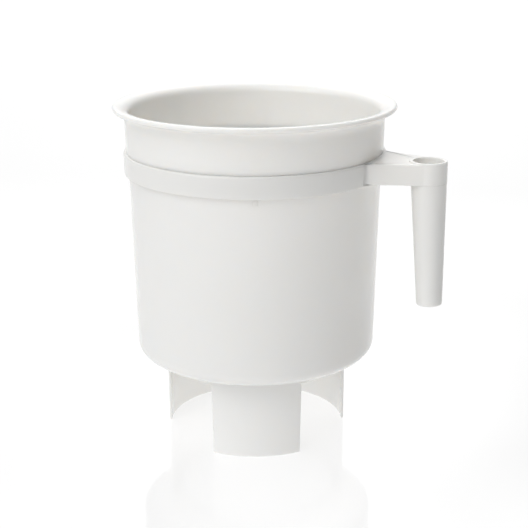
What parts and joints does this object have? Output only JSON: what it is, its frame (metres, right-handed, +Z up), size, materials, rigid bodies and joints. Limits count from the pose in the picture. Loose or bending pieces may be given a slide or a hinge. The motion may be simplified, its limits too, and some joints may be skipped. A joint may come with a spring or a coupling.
{
  "type": "handled filter funnel",
  "caption": "White moulded filter bucket with flared lip, loose handle hoop with hollow grip, cut-away skirt, and a felt pad on a perforated plate over a stoppered drain.",
  "frame": {"origin": "centre of the footprint box, on the surface that the skirt stands on; the bucket's axis is 13.4 mm off it towards -X because the handle reaches out on +X", "axes": "+Z up along the bucket's axis, +X towards the handle's side, -Y out through the middle of the front leg"},
  "size_m": [0.2048, 0.178, 0.2154],
  "materials": {
    "bucket_plastic": "moulded white polypropylene, satin gloss",
    "handle_plastic": "moulded white polypropylene, satin gloss",
    "plate_plastic": "moulded off-white polypropylene, matte",
    "pad_felt": "pressed undyed filter felt",
    "stopper_silicone": "soft translucent grey silicone"
  },
  "bodies": {
    "bucket": {"bucket": "bucket_plastic"},
    "handle": {"handle_ring": "handle_plastic"},
    "plate": {"support_plate": "plate_plastic"},
    "pad": {"filter_pad": "pad_felt"},
    "stopper": {"drain_stopper": "stopper_silicone"}
  },
  "joints": [
    {"name": "handle_turn", "type": "hinge", "parent": "bucket", "child": "handle", "pos_m": [-0.01343, 0, 0.1801], "axis": [0, 0, 1], "continuous": true},
    {"name": "plate_lift", "type": "slide", "parent": "bucket", "child": "plate", "axis": [0, 0, 1], "range_m": [0, 0.19]},
    {"name": "pad_lift", "type": "slide", "parent": "plate", "child": "pad", "axis": [0, 0, 1], "range_m": [0, 0.18]},
    {"name": "stopper_pull", "type": "slide", "parent": "bucket", "child": "stopper", "axis": [0, 0, -1], "range_m": [0, 0.06]}
  ]
}
